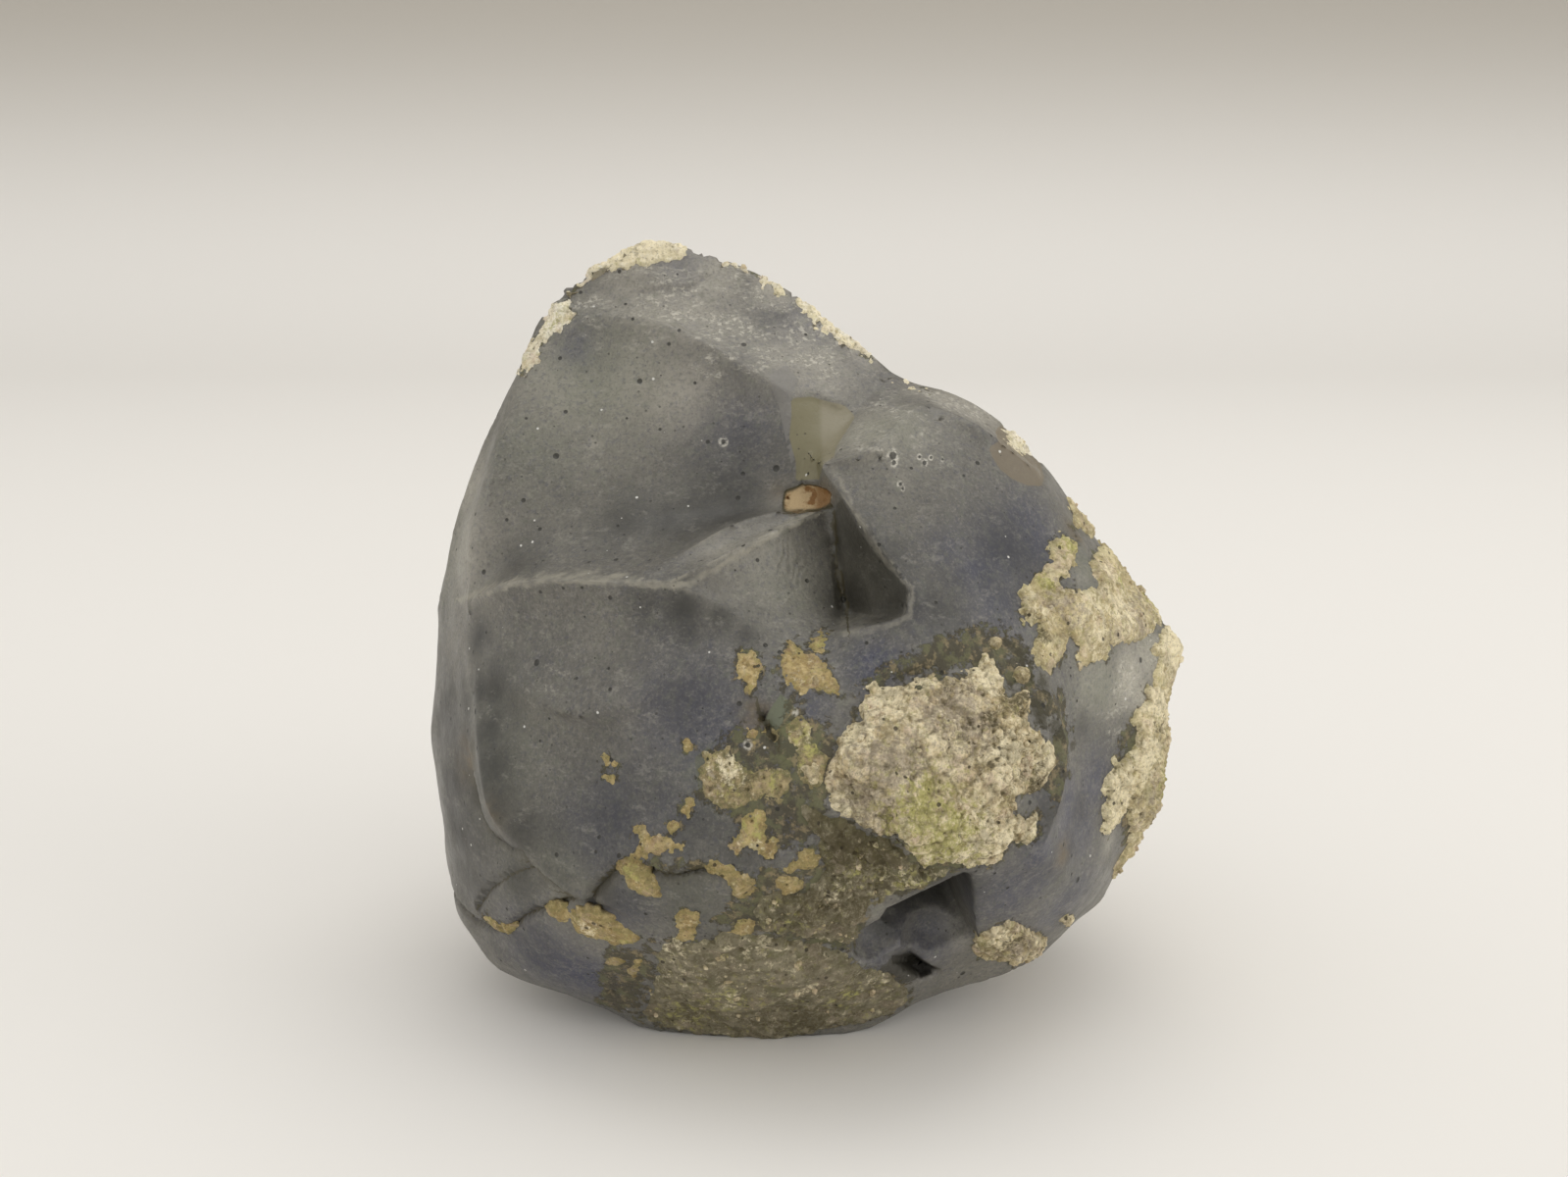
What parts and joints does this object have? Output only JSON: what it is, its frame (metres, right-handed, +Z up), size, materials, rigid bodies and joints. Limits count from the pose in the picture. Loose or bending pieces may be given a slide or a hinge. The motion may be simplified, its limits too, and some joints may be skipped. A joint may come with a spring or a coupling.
{
  "type": "slag glass chunk",
  "caption": "Rough chunk of opaque waxy grey-blue slag glass, broken into hollow shell-like faces, with stony furnace crust fused to one side; stands on a small flat spot.",
  "frame": {"origin": "centre of the bounding box at the height of the flat spot that the chunk rests on", "axes": "+Z up, the great hollow and the crust mass face -Y, the crusted nose points to +X"},
  "size_m": [0.1034, 0.0888, 0.1018],
  "materials": {
    "slag_glass": "opaque, satin to waxy, grey-blue with lavender and green tints, stony tan crust in places",
    "crust": "matt, porous, cream to tan and olive"
  },
  "bodies": {
    "root": {"slag_glass_chunk": "slag_glass"}
  },
  "joints": []
}
